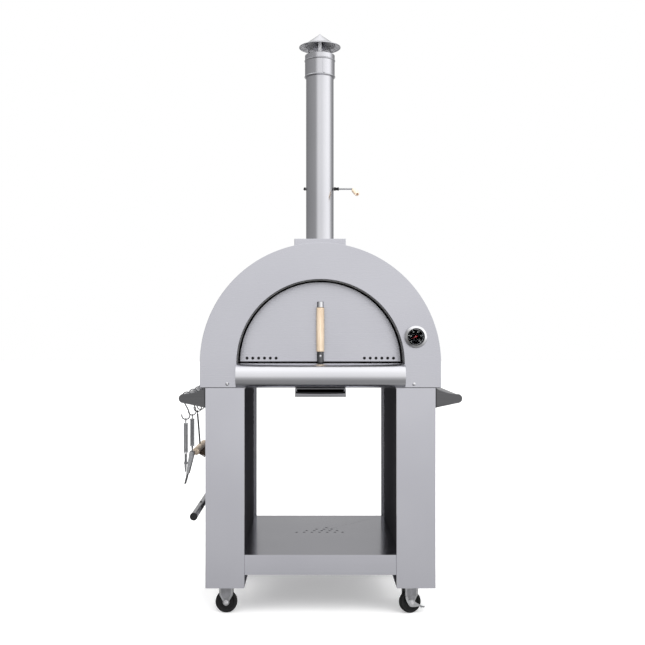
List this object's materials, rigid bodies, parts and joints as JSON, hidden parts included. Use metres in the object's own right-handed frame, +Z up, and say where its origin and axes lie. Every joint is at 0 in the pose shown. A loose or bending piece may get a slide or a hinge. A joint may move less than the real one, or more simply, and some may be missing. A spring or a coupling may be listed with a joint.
{
  "type": "wood fired pizza oven",
  "caption": "free-standing arched stainless steel wood fired oven with tall flue, damper, lift-off door, thermometer, ash drawer and wheeled cart with shelf, side bars and hanging tools",
  "frame": {"origin": "on the floor under the middle of the oven", "axes": "+Z up, the door and the front face -Y, +X is to the right seen from the front"},
  "size_m": [0.9725, 0.773, 2.045],
  "materials": {
    "stainless": "brushed stainless sheet with a fine horizontal grain",
    "dark_steel": "dark grey satin steel sheet",
    "polished_steel": "bright polished steel",
    "zinc_plate": "grey zinc plated pressed steel",
    "black_rubber": "satin black moulded tread",
    "pale_wood": "pale turned beech, lightly waxed",
    "firebrick": "dry pale refractory stone",
    "ceramic_wool": "woven ceramic fibre",
    "black_enamel": "black enamel, satin",
    "red_paint": "red paint",
    "clear_glass": "flat clear glass"
  },
  "bodies": {
    "oven": {"front_facade": "stainless", "outer_shell": "stainless", "rear_panel": "stainless", "vault_insulation": "ceramic_wool", "arch_lining": "dark_steel", "inner_vault": "dark_steel", "floor_insulation": "ceramic_wool", "hearth_stone": "firebrick", "door_seal": "ceramic_wool", "landing_lip": "stainless", "base_pan": "stainless", "flue_base": "stainless", "flue_pipe": "stainless", "flue_collar": "stainless", "cap_spider": "stainless", "rain_cap": "stainless", "damper_bush": "black_enamel", "gauge_case": "polished_steel", "gauge_dial": "black_enamel", "gauge_lens": "clear_glass", "leg_front_left": "stainless", "leg_front_right": "stainless", "leg_rear_left": "stainless", "leg_rear_right": "stainless", "side_panel_left": "stainless", "side_panel_right": "stainless", "storage_shelf": "stainless", "caster_fork_front_left": "zinc_plate", "caster_fork_rear_left": "zinc_plate", "caster_plate_front_right": "zinc_plate", "caster_plate_rear_right": "zinc_plate", "side_handle_left": "dark_steel", "side_handle_right": "dark_steel", "lower_rail": "polished_steel"},
    "door": {"door_panel": "stainless", "door_grip": "pale_wood", "door_bracket_top": "polished_steel", "door_bracket_bottom": "dark_steel"},
    "damper": {"damper_shaft": "zinc_plate", "damper_plate": "zinc_plate", "damper_grip": "pale_wood"},
    "needle": {"gauge_needle": "red_paint"},
    "drawer": {"ash_drawer": "dark_steel"},
    "wheel_front_left": {"wheel_front_left": "black_rubber"},
    "wheel_rear_left": {"wheel_rear_left": "black_rubber"},
    "swivel_front_right": {"caster_fork_front_right": "zinc_plate"},
    "swivel_rear_right": {"caster_fork_rear_right": "zinc_plate"},
    "wheel_front_right": {"wheel_front_right": "black_rubber"},
    "wheel_rear_right": {"wheel_rear_right": "black_rubber"},
    "brake_front_right": {"brake_pedal_front_right": "zinc_plate"},
    "brake_rear_right": {"brake_pedal_rear_right": "zinc_plate"},
    "hook_1": {"tool_hook_1": "zinc_plate"},
    "hook_2": {"tool_hook_2": "zinc_plate"},
    "hook_3": {"tool_hook_3": "zinc_plate"},
    "hook_4": {"tool_hook_4": "zinc_plate"},
    "cutter": {"cutter_handle": "stainless"},
    "cutter_wheel": {"cutter_wheel": "polished_steel"},
    "scraper": {"scraper": "stainless"},
    "brush": {"oven_brush": "pale_wood"}
  },
  "joints": [
    {"name": "door_slide", "type": "slide", "parent": "oven", "child": "door", "axis": [0, -1, 0], "range_m": [0, 0.3]},
    {"name": "damper_turn", "type": "hinge", "parent": "oven", "child": "damper", "pos_m": [0, -0.0865, 1.483], "axis": [1, 0, 0], "range_deg": [0, 90]},
    {"name": "needle_turn", "type": "hinge", "parent": "oven", "child": "needle", "pos_m": [0.32, -0.3485, 0.946], "axis": [0, 1, 0], "range_deg": [0, 270]},
    {"name": "drawer_slide", "type": "slide", "parent": "oven", "child": "drawer", "axis": [0, -1, 0], "range_m": [0, 0.25]},
    {"name": "wheel_front_left_roll", "type": "hinge", "parent": "oven", "child": "wheel_front_left", "pos_m": [-0.3225, -0.2715, 0.0375], "axis": [0, 1, 0], "continuous": true},
    {"name": "caster_front_right_swivel", "type": "hinge", "parent": "oven", "child": "swivel_front_right", "pos_m": [0.3225, -0.2715, 0.09], "axis": [0, 0, 1], "continuous": true},
    {"name": "wheel_front_right_roll", "type": "hinge", "parent": "swivel_front_right", "child": "wheel_front_right", "pos_m": [0.30712, -0.27592, 0.0375], "axis": [-0.2764, 0.9611, 0], "continuous": true},
    {"name": "brake_front_right_press", "type": "hinge", "parent": "swivel_front_right", "child": "brake_front_right", "pos_m": [0.30712, -0.27592, 0.0375], "axis": [-0.2764, 0.9611, 0], "range_deg": [0, 12]},
    {"name": "wheel_rear_left_roll", "type": "hinge", "parent": "oven", "child": "wheel_rear_left", "pos_m": [-0.3225, 0.3215, 0.0375], "axis": [0, 1, 0], "continuous": true},
    {"name": "caster_rear_right_swivel", "type": "hinge", "parent": "oven", "child": "swivel_rear_right", "pos_m": [0.3225, 0.3215, 0.09], "axis": [0, 0, 1], "continuous": true},
    {"name": "wheel_rear_right_roll", "type": "hinge", "parent": "swivel_rear_right", "child": "wheel_rear_right", "pos_m": [0.30712, 0.31708, 0.0375], "axis": [-0.2764, 0.9611, 0], "continuous": true},
    {"name": "brake_rear_right_press", "type": "hinge", "parent": "swivel_rear_right", "child": "brake_rear_right", "pos_m": [0.30712, 0.31708, 0.0375], "axis": [-0.2764, 0.9611, 0], "range_deg": [0, 12]},
    {"name": "hook_1_swing", "type": "hinge", "parent": "oven", "child": "hook_1", "pos_m": [-0.463, -0.2385, 0.738], "axis": [0, 1, 0], "range_deg": [-4, 35]},
    {"name": "hook_2_swing", "type": "hinge", "parent": "oven", "child": "hook_2", "pos_m": [-0.463, -0.0615, 0.738], "axis": [0, 1, 0], "range_deg": [-4, 35]},
    {"name": "hook_3_swing", "type": "hinge", "parent": "oven", "child": "hook_3", "pos_m": [-0.463, 0.0995, 0.738], "axis": [0, 1, 0], "range_deg": [-4, 35]},
    {"name": "hook_4_swing", "type": "hinge", "parent": "oven", "child": "hook_4", "pos_m": [-0.463, 0.1965, 0.738], "axis": [0, 1, 0], "range_deg": [-4, 35]},
    {"name": "cutter_swing", "type": "hinge", "parent": "hook_1", "child": "cutter", "pos_m": [-0.467, -0.2385, 0.673], "axis": [0, 1, 0], "range_deg": [-12, 40]},
    {"name": "scraper_swing", "type": "hinge", "parent": "hook_2", "child": "scraper", "pos_m": [-0.467, -0.0615, 0.673], "axis": [0, 1, 0], "range_deg": [-10, 40]},
    {"name": "brush_swing", "type": "hinge", "parent": "hook_3", "child": "brush", "pos_m": [-0.467, 0.0995, 0.673], "axis": [0, 1, 0], "range_deg": [-3, 35]},
    {"name": "cutter_wheel_roll", "type": "hinge", "parent": "cutter", "child": "cutter_wheel", "pos_m": [-0.467, -0.2385, 0.508], "axis": [1, 0, 0], "continuous": true}
  ]
}
